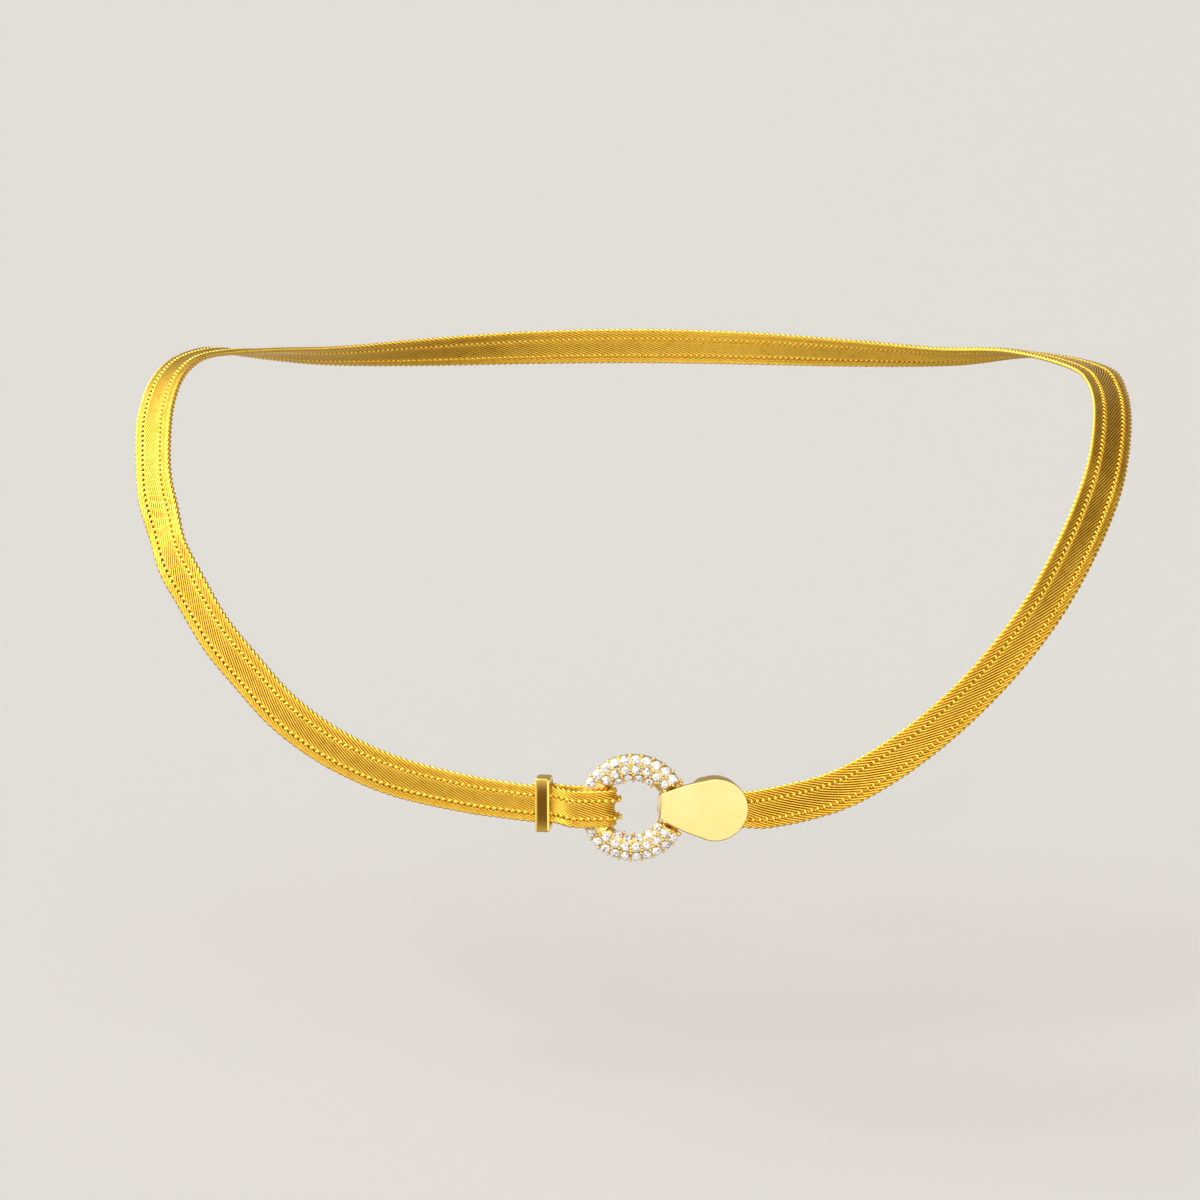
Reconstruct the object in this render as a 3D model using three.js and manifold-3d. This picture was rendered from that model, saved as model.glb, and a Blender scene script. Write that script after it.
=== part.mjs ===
import * as THREE from 'three';
import Module from 'manifold-3d';

// Woven gold collar necklace with a stone-set ring, a keeper bar and a drop-shaped hook.
// Millimetres, +Z up, the front faces -Y, and the origin is the seat of the strap on the nape.

// Loop of the strap as it is worn
const loopHalfWidth = 70.5;    // centre plane to the strap's middle line at its widest
const loopReach = 108;         // nape to the centre of the ring, front to back
const loopDrop = 50;           // nape down to the centre of the ring

// Woven strap
const strapWidth = 6.4;
const panelThickness = 0.7;
const ridgeRise = 0.1;         // how far a stitched ridge stands above the panels
const innerRidge = 0.215;      // places of the two ridges, as shares of the width from the middle
const outerRidge = -0.255;
const ridgeHalf = 0.055;       // half the width of a ridge's foot, as a share of the strap's width
const pinchedWidth = 0.86;     // share of its width that the strap keeps where metal holds it
const strapStep = 4.2;         // longest step between two sections

// Ring set with stones
const ringMidRadius = 5.9;
const ringHalfWidth = 1.72;
const ringCrown = 1.25;        // height of the dome in front of the ring's middle plane
const ringBack = 0.9;
const foldCrown = 0.9;         // lower, plain dome under the strap
const barHalfWidth = 1.15;     // plain bar that the hook holds
const barDepth = 0.75;
const barSpread = 26;          // degrees either side of the right-hand point
const foldSpread = 38;         // degrees either side of the left-hand point
const blendSpread = 7;         // degrees over which the section changes

// Stones
const stoneDiameter = 1.2;
const stoneGap = 0.335;        // between two stones of a row
const stoneRise = 0.12;        // girdle above the dome
const stoneCrown = 0.26;       // table above the girdle
const stoneGirdle = 0.1;
const stoneSunk = 0.55;        // how deep the pavilion goes
const tableShare = 0.56;
const culetShare = 0.45;       // width left at the bottom of the pavilion
const stoneSides = 8;

// Keeper bar
const keeperWidth = 2.1;
const keeperWall = 0.43;       // in front of the strap and behind it
const keeperEndWall = 0.85;    // above the strap and below it
const keeperSlack = 0.27;      // room in the slot, before and behind the strap
const keeperBack = 0.15;       // the bar stands this far behind the middle of the two layers
const keeperOff = 12.66;       // left of the ring's centre
const keeperRise = 0.35;       // and above it
const keeperTurn = -8;         // degrees about Z, so that it follows the loop
const keeperBevel = 0.14;

// Drop-shaped hook
const dropRadius = 4.54;       // half height of the round end
const dropRoundAt = 5.7;       // round end's centre, from the middle of the bar
const dropTipAt = -2.4;        // narrow end, inside the ring
const dropTipHalf = 1.8;
const dropTurn = 9.5;          // degrees about Z
const dropRoll = 6.3;          // degrees by which its round end hangs
const dropRise = 0.25;         // above the ring's middle
const plateThickness = 0.6;
const plateBevel = 0.12;
const bodyInset = 0.08;        // the body behind the plate is this much smaller
const bodyDepth = 2.4;
const tongueThickness = 0.5;
const tongueInset = 0.45;      // the tongue is this much narrower than the plate's tip, each side
const hookSlack = 0.2;         // the way in, between tongue and body, is the bar's depth and this
const pocketDepth = 2.5;       // length of strap held inside the body

const clearance = 0.3;         // gap kept between pieces that touch

// Worked out from the sizes above
const halfStrap = panelThickness / 2 + ridgeRise;
const pinchedHalf = strapWidth * pinchedWidth / 2;
const ringCentre = new THREE.Vector3( 0, halfStrap - loopReach, - loopDrop );
const layerOffset = halfStrap + clearance / 2;
const slotDepth = layerOffset + halfStrap + keeperSlack;
const slotHeight = pinchedHalf + clearance;
const keeperDepth = 2 * ( slotDepth + keeperWall );
const keeperHeight = 2 * ( slotHeight + keeperEndWall );
const plateFront = - ( barDepth + clearance + plateThickness );
const plateBack = plateFront + plateThickness;
const bodyBack = plateBack + bodyDepth;
const pocketMiddle = ( plateBack + bodyBack ) / 2;
const ringOuter = ringMidRadius + ringHalfWidth;
const bodyStart = ringOuter - ringMidRadius + clearance;
const dropLength = dropRoundAt + dropRadius;
const tongueHalf = dropTipHalf - tongueInset;
const hookOpening = 2 * barDepth + hookSlack;
const holeRadius = ringMidRadius - ringHalfWidth;
const holeAtStrap = Math.sqrt( holeRadius ** 2 - pinchedHalf ** 2 );
const foldEnd = holeAtStrap - clearance - halfStrap;
const foldStart = ringMidRadius - ringHalfWidth / 2;

const wasm = await Module();
wasm.setup();

// A closed loft: each section is a loop of points, and the ends are ladders of triangles
function loft( sections, closed = false ) {

	const count = sections[ 0 ].length;
	const positions = sections.flat().flatMap( ( p ) => [ p.x, p.y, p.z ] );
	const faces = [];
	const spans = closed ? sections.length : sections.length - 1;

	for ( let i = 0; i < spans; i ++ ) {

		const here = i * count;
		const next = ( ( i + 1 ) % sections.length ) * count;

		for ( let j = 0; j < count; j ++ ) {

			const k = ( j + 1 ) % count;
			faces.push( here + j, here + k, next + k );
			faces.push( here + j, next + k, next + j );

		}

	}

	if ( ! closed ) {

		const last = ( sections.length - 1 ) * count;

		for ( let j = 0; j < count / 2 - 1; j ++ ) {

			const back = count - 1 - j;
			faces.push( j, back - 1, j + 1 );
			faces.push( j, back, back - 1 );
			faces.push( last + j, last + j + 1, last + back - 1 );
			faces.push( last + j, last + back - 1, last + back );

		}

	}

	return facedOut( positions, faces );

}

// Turns every triangle round when the closed surface would enclose a negative volume
function facedOut( positions, faces ) {

	const at = ( i ) => new THREE.Vector3().fromArray( positions, 3 * i );
	let volume = 0;

	for ( let i = 0; i < faces.length; i += 3 ) {

		volume += at( faces[ i ] ).dot( at( faces[ i + 1 ] ).cross( at( faces[ i + 2 ] ) ) );

	}

	if ( volume < 0 ) faces.reverse();

	const geometry = new THREE.BufferGeometry();
	geometry.setAttribute( 'position', new THREE.Float32BufferAttribute( positions, 3 ) );
	geometry.setIndex( faces );
	return geometry;

}

function toSolid( geometry ) {

	return new wasm.Manifold( new wasm.Mesh( {
		numProp: 3,
		vertProperties: new Float32Array( geometry.attributes.position.array ),
		triVerts: new Uint32Array( geometry.index.array ),
	} ) );

}

function toGeometry( solid ) {

	const mesh = solid.getMesh();
	const geometry = new THREE.BufferGeometry();
	geometry.setAttribute( 'position', new THREE.Float32BufferAttribute( mesh.vertProperties, 3 ) );
	geometry.setIndex( Array.from( mesh.triVerts ) );
	return geometry;

}

// Places in the frames of the ring, the keeper and the hook: along to the right, depth backwards
function fromRing( along, depth, height = 0 ) {

	return new THREE.Vector3( along, depth, height ).add( ringCentre );

}

const mix = THREE.MathUtils.lerp;
const upAxis = new THREE.Vector3( 0, 0, 1 );
const keeperCentre = new THREE.Vector3( - keeperOff, layerOffset + keeperBack, keeperRise );
const hookCentre = new THREE.Vector3( ringMidRadius, 0, dropRise );
const hookRoll = THREE.MathUtils.degToRad( dropRoll );
const pivot = new THREE.Vector2();

function turned( along, depth, height, degrees, centre ) {

	const angle = THREE.MathUtils.degToRad( degrees );
	const point = new THREE.Vector3( along, depth, height ).applyAxisAngle( upAxis, angle );
	return point.add( centre ).add( ringCentre );

}

function fromKeeper( along, depth, height = 0 ) {

	return turned( along, depth, height, keeperTurn, keeperCentre );

}

function fromHook( along, depth, height = 0 ) {

	const rolled = new THREE.Vector2( along, height ).rotateAround( pivot, - hookRoll );
	return turned( rolled.x, depth, rolled.y, dropTurn, hookCentre );

}

// Rows of the strap's middle line, from the hook up the right side: how far across and back it has
// come on its way from the metal to the loop's widest point and the nape, how far up from the ring
// to the nape, the lean of its face upwards in degrees, and the share of the strap's width
const rightRows = [
	{ across: 0.052, back: 0.004, up: - 0.016, lean: 0, wide: 0.95 },
	{ across: 0.215, back: 0.022, up: 0.018, lean: 0, wide: 0.97 },
	{ across: 0.323, back: 0.033, up: 0.069, lean: 0, wide: 0.97 },
	{ across: 0.472, back: 0.054, up: 0.172, lean: 1, wide: 0.97 },
	{ across: 0.630, back: 0.088, up: 0.316, lean: 8, wide: 0.98 },
	{ across: 0.778, back: 0.135, up: 0.495, lean: 24, wide: 1 },
	{ across: 0.880, back: 0.192, up: 0.658, lean: 46, wide: 1 },
	{ across: 0.946, back: 0.252, up: 0.783, lean: 58, wide: 1 },
	{ across: 0.977, back: 0.292, up: 0.863, lean: 61, wide: 1 },
	{ across: 0.999, back: 0.346, up: 0.941, lean: 65, wide: 1 },
	{ across: 1.009, back: 0.398, up: 1.002, lean: 70, wide: 1 },
	{ across: 1.006, back: 0.459, up: 1.046, lean: 79, wide: 1 },
	{ across: 0.984, back: 0.516, up: 1.075, lean: 88, wide: 1 },
];
// The same from the back down the left side, measured from the keeper
const leftRows = [
	{ across: 0.870, back: 0.608, up: 1.106, lean: 91, wide: 1 },
	{ across: 0.941, back: 0.527, up: 1.109, lean: 83, wide: 1 },
	{ across: 0.971, back: 0.485, up: 1.092, lean: 79, wide: 1 },
	{ across: 0.993, back: 0.447, up: 1.060, lean: 74, wide: 1 },
	{ across: 1.009, back: 0.396, up: 0.990, lean: 68, wide: 1 },
	{ across: 1.008, back: 0.351, up: 0.915, lean: 59, wide: 1 },
	{ across: 0.993, back: 0.289, up: 0.799, lean: 49, wide: 1 },
	{ across: 0.966, back: 0.252, up: 0.712, lean: 38, wide: 1 },
	{ across: 0.938, back: 0.220, up: 0.626, lean: 28, wide: 1 },
	{ across: 0.890, back: 0.190, up: 0.543, lean: 20, wide: 1 },
	{ across: 0.816, back: 0.153, up: 0.424, lean: 13, wide: 1 },
	{ across: 0.739, back: 0.126, up: 0.332, lean: 9, wide: 1 },
	{ across: 0.647, back: 0.099, up: 0.230, lean: 6, wide: 0.99 },
	{ across: 0.543, back: 0.075, up: 0.151, lean: 4, wide: 0.98 },
	{ across: 0.440, back: 0.056, up: 0.097, lean: 2, wide: 0.97 },
	{ across: 0.338, back: 0.041, up: 0.059, lean: 0, wide: 0.95 },
	{ across: 0.158, back: 0.019, up: 0.022, lean: 0, wide: 0.89 },
	{ across: 0.076, back: 0.011, up: 0.012, lean: 0, wide: 0.87 },
];

// The stretch behind the neck is a plain half ellipse; angles in degrees from the right-hand side
const napeAngles = [ 30, 45, 60, 75, 90, 105, 120, 135, 150 ];
const napeStart = 0.37;        // share of the reach at which the ellipse has its widest point
const napeHalfWidth = 0.9725;  // share of the loop's half width
const napeSkew = 0.0175;
const napeRise = 0.31;         // share of the drop by which the shoulders stand above the nape
const napeLean = 20;
const shoulderLean = 78;

// Both layers of the strap beside the ring, on their way to the keeper
const besideRing = 1;
const frontEase = 0.12;
const backEase = 0.2;
const strapTail = 0.6;         // end of the strap past the keeper
const foldSteps = 8;

function strapStations() {

	const stations = [];
	const add = ( point, lean = 0, wide = pinchedWidth ) => stations.push( { point, lean, wide } );
	const addRow = ( row, exit, side ) => add( new THREE.Vector3(
		mix( exit.x, side * loopHalfWidth, row.across ),
		mix( exit.y, halfStrap, row.back ),
		( row.up - 1 ) * loopDrop ), row.lean, row.wide );
	const hookExit = fromHook( dropLength + clearance, pocketMiddle );
	const keeperEnd = keeperWidth / 2 + clearance;
	const keeperExit = fromKeeper( - keeperEnd, - layerOffset );

	add( fromHook( dropLength - pocketDepth, pocketMiddle ) );
	add( hookExit );
	rightRows.forEach( ( row ) => addRow( row, hookExit, 1 ) );

	for ( const degrees of napeAngles ) {

		const angle = THREE.MathUtils.degToRad( degrees );
		const behind = Math.sin( angle );
		const aside = Math.cos( angle );
		const point = new THREE.Vector3(
			( napeHalfWidth + napeSkew * aside ) * aside * loopHalfWidth,
			halfStrap - ( 1 - napeStart ) * ( 1 - behind ) * loopReach,
			napeRise * ( 1 - behind ) ** 2 * loopDrop );
		add( point, napeLean + shoulderLean * aside ** 2, 1 );

	}

	leftRows.forEach( ( row ) => addRow( row, keeperExit, - 1 ) );

	// Through the keeper, over the ring, round in its hole and back under the keeper
	const foldDepth = foldCrown + clearance + halfStrap;
	const foldReach = foldStart - foldEnd;
	const beside = - ringOuter - besideRing;
	add( keeperExit );
	add( fromKeeper( keeperEnd, - layerOffset ) );
	add( fromRing( beside, frontEase - foldDepth ) );

	for ( let i = 0; i <= foldSteps; i ++ ) {

		const angle = Math.PI * i / foldSteps;
		const reach = foldReach * Math.sin( angle );
		add( fromRing( reach - foldStart, - foldDepth * Math.cos( angle ) ) );

	}

	add( fromRing( beside, foldDepth - backEase ) );
	add( fromKeeper( keeperEnd, layerOffset ) );
	add( fromKeeper( - keeperEnd - strapTail, layerOffset ) );
	return stations;

}

// Half of the strap's section, from the outer edge to the inner one: place across as a share of
// the width, and height as a share of the panels' half thickness, with the ridges' rise added
const edgeShare = 0.46;
const sectionRows = [
	{ share: - 0.5, height: 0, rise: 0 },
	{ share: - edgeShare, height: 1, rise: 0 },
	{ share: outerRidge - ridgeHalf, height: 1, rise: 0 },
	{ share: outerRidge, height: 1, rise: 1 },
	{ share: outerRidge + ridgeHalf, height: 1, rise: 0 },
	{ share: innerRidge - ridgeHalf, height: 1, rise: 0 },
	{ share: innerRidge, height: 1, rise: 1 },
	{ share: innerRidge + ridgeHalf, height: 1, rise: 0 },
	{ share: edgeShare, height: 1, rise: 0 },
	{ share: 0.5, height: 0, rise: 0 },
];

function strapSection( centre, tangent, lean, width ) {

	const angle = THREE.MathUtils.degToRad( lean );
	const outward = new THREE.Vector3().crossVectors( tangent, upAxis ).normalize();
	const upward = new THREE.Vector3().crossVectors( outward, tangent ).normalize();
	const facing = outward.multiplyScalar( Math.cos( angle ) ).addScaledVector( upward, Math.sin( angle ) );
	const inward = new THREE.Vector3().crossVectors( facing, tangent ).normalize();
	const place = ( row, side ) => centre.clone()
		.addScaledVector( inward, row.share * width )
		.addScaledVector( facing, side * ( row.height * panelThickness / 2 + row.rise * ridgeRise ) );
	const front = sectionRows.map( ( row ) => place( row, 1 ) );
	const back = sectionRows.slice( 1, - 1 ).reverse().map( ( row ) => place( row, - 1 ) );
	return [ ...front, ...back ];

}

// Sections along a smooth curve through the rows; lean and width follow a curve of their own
function strapSections() {

	const stations = strapStations();
	const route = new THREE.CatmullRomCurve3( stations.map( ( s ) => s.point ) );
	const hold = new THREE.CatmullRomCurve3(
		stations.map( ( s ) => new THREE.Vector3( s.lean, s.wide, 0 ) ), false, 'catmullrom', 0.5 );
	const spans = stations.length - 1;
	const sections = [];

	for ( let i = 0; i < spans; i ++ ) {

		const length = stations[ i ].point.distanceTo( stations[ i + 1 ].point );
		const steps = Math.max( 2, Math.ceil( length / strapStep ) );
		const last = i === spans - 1 ? steps : steps - 1;

		for ( let step = 0; step <= last; step ++ ) {

			const t = ( i + step / steps ) / spans;
			const { x: lean, y: wide } = hold.getPoint( t );
			sections.push( strapSection( route.getPoint( t ), route.getTangent( t ), lean, wide * strapWidth ) );

		}

	}

	return sections;

}

function wovenBand() {

	return loft( strapSections() );

}

// Ring: a dome with a flat back, lower under the strap and a slim bar inside the hook
const ringSteps = 72;
const domeSteps = 8;
const backEdge = 0.45;         // share of the back's depth at which the side starts to slope in
const backFlat = 0.75;         // share of the half width that is flat at the back

function ringShape( angle ) {

	const fromRight = Math.abs( Math.atan2( Math.sin( angle ), Math.cos( angle ) ) );
	const degrees = THREE.MathUtils.radToDeg( fromRight );
	const full = THREE.MathUtils.smoothstep( degrees, barSpread, barSpread + blendSpread );
	const foldFrom = 180 - foldSpread;
	const fold = THREE.MathUtils.smoothstep( degrees, foldFrom - blendSpread, foldFrom );
	return {
		half: mix( barHalfWidth, ringHalfWidth, full ),
		crown: mix( mix( barDepth, ringCrown, full ), foldCrown, fold ),
		back: mix( barDepth, ringBack, full ),
	};

}

function domeHeight( shape, offset ) {

	return shape.crown * Math.sqrt( Math.max( 0, 1 - ( offset / shape.half ) ** 2 ) );

}

function ringSection( angle ) {

	const shape = ringShape( angle );
	const place = ( offset, depth ) => {

		const radius = ringMidRadius + offset;
		return fromRing( radius * Math.cos( angle ), depth, radius * Math.sin( angle ) );

	};

	const front = [];

	for ( let i = 0; i <= domeSteps; i ++ ) {

		const offset = - shape.half * Math.cos( Math.PI * i / domeSteps );
		front.push( place( offset, - domeHeight( shape, offset ) ) );

	}

	const back = [
		place( shape.half, shape.back * backEdge ),
		place( shape.half * backFlat, shape.back ),
		place( - shape.half * backFlat, shape.back ),
		place( - shape.half, shape.back * backEdge ),
	];
	return [ ...front, ...back ];

}

// Three staggered rows of stones: share of the ring's half width from its middle radius, and the
// turn of the row in steps
const stoneRows = [
	{ share: 0.606, turn: 0 },
	{ share: - 0.152, turn: 0.5 },
	{ share: - 0.836, turn: 0 },
];

function stoneSolid( angle, offset ) {

	const shape = ringShape( angle );
	const height = domeHeight( shape, offset );
	const slope = - offset * ( shape.crown / shape.half ) ** 2 / height;
	const radial = new THREE.Vector3( Math.cos( angle ), 0, Math.sin( angle ) );
	const forward = new THREE.Vector3( 0, - 1, 0 );
	const normal = forward.clone().addScaledVector( radial, - slope ).normalize();
	const side = new THREE.Vector3().crossVectors( normal, radial ).normalize();
	const along = new THREE.Vector3().crossVectors( side, normal );
	const foot = radial.clone().multiplyScalar( ringMidRadius + offset )
		.addScaledVector( forward, height ).add( ringCentre );
	const radius = stoneDiameter / 2;
	const levels = [
		{ height: - stoneSunk, radius: radius * culetShare },
		{ height: stoneRise - stoneGirdle, radius },
		{ height: stoneRise, radius },
		{ height: stoneRise + stoneCrown, radius: radius * tableShare },
	];
	const sections = levels.map( ( level ) => {

		const points = [];

		for ( let i = 0; i < stoneSides; i ++ ) {

			const around = 2 * Math.PI * ( i + 0.5 ) / stoneSides;
			points.push( foot.clone()
				.addScaledVector( normal, level.height )
				.addScaledVector( along, level.radius * Math.cos( around ) )
				.addScaledVector( side, level.radius * Math.sin( around ) ) );

		}

		return points;

	} );
	return toSolid( loft( sections ) );

}

// A stone is set only where neither the strap nor the hook covers the ring
function isOpen( angle, offset ) {

	const along = ( ringMidRadius + offset ) * Math.cos( angle );
	const height = ( ringMidRadius + offset ) * Math.sin( angle );
	const room = stoneDiameter / 2 + clearance;
	const inHook = new THREE.Vector2( along - ringMidRadius, height - dropRise ).rotateAround( pivot, hookRoll );
	const hookEdge = dropTipHalf + ( inHook.x - dropTipAt ) * hookFlare;
	const underHook = along > 0 && Math.abs( inHook.y ) < Math.max( hookEdge, dropTipHalf ) + room;
	const underStrap = along < 0 && Math.abs( height ) < pinchedHalf + room;
	return ! underHook && ! underStrap;

}

function paveRing() {

	const sections = [];

	for ( let i = 0; i < ringSteps; i ++ ) sections.push( ringSection( 2 * Math.PI * i / ringSteps ) );

	let solid = toSolid( loft( sections, true ) );

	for ( const row of stoneRows ) {

		const offset = row.share * ringHalfWidth;
		const around = 2 * Math.PI * ( ringMidRadius + offset );
		const count = Math.round( around / ( stoneDiameter + stoneGap ) );

		for ( let i = 0; i < count; i ++ ) {

			const angle = 2 * Math.PI * ( i + row.turn ) / count;
			if ( isOpen( angle, offset ) ) solid = solid.add( stoneSolid( angle, offset ) );

		}

	}

	return toGeometry( solid );

}

// Teardrop outline: a round end joined to a narrow one by lightly bowed sides, symmetric in height
const joinAngle = 112;         // degrees from the right-hand point at which the round end stops
const bow = 0.22;
const sideSteps = 8;
const roundSteps = 9;
const hookFlare = ( dropRadius * Math.sin( THREE.MathUtils.degToRad( joinAngle ) ) - dropTipHalf )
	/ ( dropRoundAt + dropRadius * Math.cos( THREE.MathUtils.degToRad( joinAngle ) ) - dropTipAt );

function dropOutline( inset, start = dropTipAt + inset ) {

	const radius = dropRadius - inset;
	const angle = THREE.MathUtils.degToRad( joinAngle );
	const join = { along: dropRoundAt + radius * Math.cos( angle ), height: radius * Math.sin( angle ) };
	const tip = { along: dropTipAt, height: dropTipHalf - inset };
	const upper = [];

	for ( let i = 0; i < sideSteps; i ++ ) {

		const along = mix( start, join.along, i / sideSteps );
		const share = ( along - tip.along ) / ( join.along - tip.along );
		const height = mix( tip.height, join.height, share );
		upper.push( { along, height: height + bow * 4 * share * ( 1 - share ) } );

	}

	for ( let i = 0; i <= roundSteps; i ++ ) {

		const around = angle * ( 1 - i / ( roundSteps + 0.5 ) );
		upper.push( { along: dropRoundAt + radius * Math.cos( around ), height: radius * Math.sin( around ) } );

	}

	const lower = upper.map( ( p ) => ( { along: p.along, height: - p.height } ) ).reverse();
	return [ ...upper, ...lower ];

}

function hookLoft( levels ) {

	return toSolid( loft( levels.map( ( level ) =>
		level.outline.map( ( p ) => fromHook( p.along, level.depth, p.height ) ) ) ) );

}

function hookBlock( alongFrom, alongTo, depthFrom, depthTo, half ) {

	const outline = [
		{ along: alongFrom, height: half },
		{ along: alongTo, height: half },
		{ along: alongTo, height: - half },
		{ along: alongFrom, height: - half },
	];
	return hookLoft( [ { outline, depth: depthFrom }, { outline, depth: depthTo } ] );

}

function dropHook() {

	const plate = hookLoft( [
		{ outline: dropOutline( plateBevel ), depth: plateFront },
		{ outline: dropOutline( 0 ), depth: plateFront + plateBevel },
		{ outline: dropOutline( 0 ), depth: plateBack },
	] );
	const bodyOutline = dropOutline( bodyInset, bodyStart );
	const backOutline = dropOutline( bodyInset + plateBevel, bodyStart );
	const body = hookLoft( [
		{ outline: bodyOutline, depth: plateBack - plateThickness / 2 },
		{ outline: bodyOutline, depth: bodyBack - plateBevel },
		{ outline: backOutline, depth: bodyBack },
	] );
	const tongueBack = barDepth + clearance + tongueThickness;
	const bend = hookBlock( dropTipAt, dropTipAt + tongueThickness,
		plateFront + plateThickness / 2, tongueBack, tongueHalf );
	const tongue = hookBlock( dropTipAt, bodyStart - hookOpening,
		tongueBack - tongueThickness, tongueBack, tongueHalf );
	const pocketHalf = halfStrap + clearance;
	const pocket = hookBlock( dropLength - pocketDepth - clearance, dropLength + 1,
		pocketMiddle - pocketHalf, pocketMiddle + pocketHalf, pinchedHalf + clearance );
	return toGeometry( plate.add( body ).add( bend ).add( tongue ).subtract( pocket ) );

}

// Keeper bar: a flat bevelled front, a rounded back and a slot for both layers of the strap
const roundingFrom = 0.3;      // shares of the half depth at which the back grows smaller
const roundingMiddle = 0.72;

function keeperOutline( side, end ) {

	const along = keeperWidth / 2 - side;
	const height = keeperHeight / 2 - end;
	return [
		{ along: - along, height },
		{ along, height },
		{ along, height: - height },
		{ along: - along, height: - height },
	];

}

function keeperSolid( levels ) {

	return toSolid( loft( levels.map( ( level ) =>
		level.outline.map( ( p ) => fromKeeper( p.along, level.depth, p.height ) ) ) ) );

}

function keeperBar() {

	const half = keeperDepth / 2;
	const outer = keeperSolid( [
		{ outline: keeperOutline( keeperBevel, keeperBevel ), depth: - half },
		{ outline: keeperOutline( 0, 0 ), depth: - half + keeperBevel },
		{ outline: keeperOutline( 0, 0 ), depth: half * roundingFrom },
		{ outline: keeperOutline( keeperBevel, keeperBevel * 2 ), depth: half * roundingMiddle },
		{ outline: keeperOutline( keeperBevel * 3, keeperBevel * 5 ), depth: half },
	] );
	const slotOutline = [
		{ along: - keeperWidth, height: slotHeight },
		{ along: keeperWidth, height: slotHeight },
		{ along: keeperWidth, height: - slotHeight },
		{ along: - keeperWidth, height: - slotHeight },
	];
	const slot = keeperSolid( [
		{ outline: slotOutline, depth: - slotDepth },
		{ outline: slotOutline, depth: slotDepth },
	] );
	return toGeometry( outer.subtract( slot ) );

}

// Materials and the finished group
function gold( name, color, roughness ) {

	return new THREE.MeshStandardMaterial( { name, color, roughness, metalness: 1, flatShading: true } );

}

const pieces = [
	{ name: 'woven_band', make: wovenBand, material: gold( 'woven_gold', 0xe8b63a, 0.34 ) },
	{ name: 'pave_ring', make: paveRing, material: gold( 'set_stones', 0xf1eadc, 0.12 ) },
	{ name: 'keeper_bar', make: keeperBar, material: gold( 'polished_gold', 0xf0c65a, 0.12 ) },
	{ name: 'drop_hook', make: dropHook, material: gold( 'polished_gold', 0xf0c65a, 0.12 ) },
];
const necklace = new THREE.Group();

for ( const piece of pieces ) {

	const mesh = new THREE.Mesh( piece.make(), piece.material );
	mesh.name = piece.name;
	necklace.add( mesh );

}

export default necklace;
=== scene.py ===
import math
import bpy
import numpy as np
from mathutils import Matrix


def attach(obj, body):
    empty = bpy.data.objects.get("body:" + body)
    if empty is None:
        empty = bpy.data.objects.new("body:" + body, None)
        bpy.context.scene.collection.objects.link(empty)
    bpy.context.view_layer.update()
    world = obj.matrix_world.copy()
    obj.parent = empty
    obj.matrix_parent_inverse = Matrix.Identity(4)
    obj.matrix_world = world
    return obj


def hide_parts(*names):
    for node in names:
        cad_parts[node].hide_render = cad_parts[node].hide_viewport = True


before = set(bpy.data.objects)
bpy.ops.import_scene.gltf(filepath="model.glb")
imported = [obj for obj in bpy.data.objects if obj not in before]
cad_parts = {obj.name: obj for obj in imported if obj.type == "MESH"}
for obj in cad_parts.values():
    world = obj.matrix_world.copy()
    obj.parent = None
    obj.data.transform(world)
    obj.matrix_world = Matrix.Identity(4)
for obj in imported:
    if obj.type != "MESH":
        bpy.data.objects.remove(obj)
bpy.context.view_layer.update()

mm = 0.001
print("frame loaded:", sorted(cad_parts))

# The worn loop, with the same sizes as the solids
loop = {
    "halfWidth": 70.5 * mm, "reach": 108 * mm, "drop": 50 * mm,
    "strapWidth": 6.4 * mm, "halfStrap": 0.45 * mm, "pinched": 0.86,
    "clearance": 0.3 * mm, "samplesPerSpan": 48,
}
ringSize = {
    "midRadius": 5.9 * mm, "halfWidth": 1.72 * mm, "crown": 1.25 * mm, "back": 0.9 * mm,
    "foldCrown": 0.9 * mm, "barHalfWidth": 1.15 * mm, "barDepth": 0.75 * mm,
    "barSpread": 26, "foldSpread": 38, "blendSpread": 7,
}
keeperSize = {
    "width": 2.1 * mm, "off": 12.66 * mm, "rise": 0.35 * mm, "turn": -8, "behind": 0.15 * mm,
    "wall": 0.43 * mm, "endWall": 0.85 * mm, "slack": 0.27 * mm, "bevel": 0.3 * mm,
}
dropSize = {
    "radius": 4.54 * mm, "roundAt": 5.7 * mm, "tipAt": -2.4 * mm, "tipHalf": 1.8 * mm, "turn": 9.5,
    "roll": 6.3, "rise": 0.25 * mm, "plate": 0.6 * mm, "bodyDepth": 2.4 * mm, "bodyInset": 0.08 * mm,
    "tongue": 0.5 * mm, "tongueInset": 0.45 * mm, "pocket": 2.5 * mm, "joinAngle": 112, "bow": 0.22 * mm,
}
ringCentre = np.array([0.0, loop["halfStrap"] - loop["reach"], -loop["drop"]])
layerOffset = loop["halfStrap"] + loop["clearance"] / 2
pinchedHalf = loop["strapWidth"] * loop["pinched"] / 2
plateFront = -(ringSize["barDepth"] + loop["clearance"] + dropSize["plate"])
plateBack = plateFront + dropSize["plate"]
bodyBack = plateBack + dropSize["bodyDepth"]
pocketMiddle = (plateBack + bodyBack) / 2
ringOuter = ringSize["midRadius"] + ringSize["halfWidth"]
bodyStart = ringSize["halfWidth"] + loop["clearance"]
dropLength = dropSize["roundAt"] + dropSize["radius"]
holeRadius = ringSize["midRadius"] - ringSize["halfWidth"]
foldEnd = math.sqrt(holeRadius ** 2 - pinchedHalf ** 2) - loop["clearance"] - loop["halfStrap"]
foldStart = ringSize["midRadius"] - ringSize["halfWidth"] / 2

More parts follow.
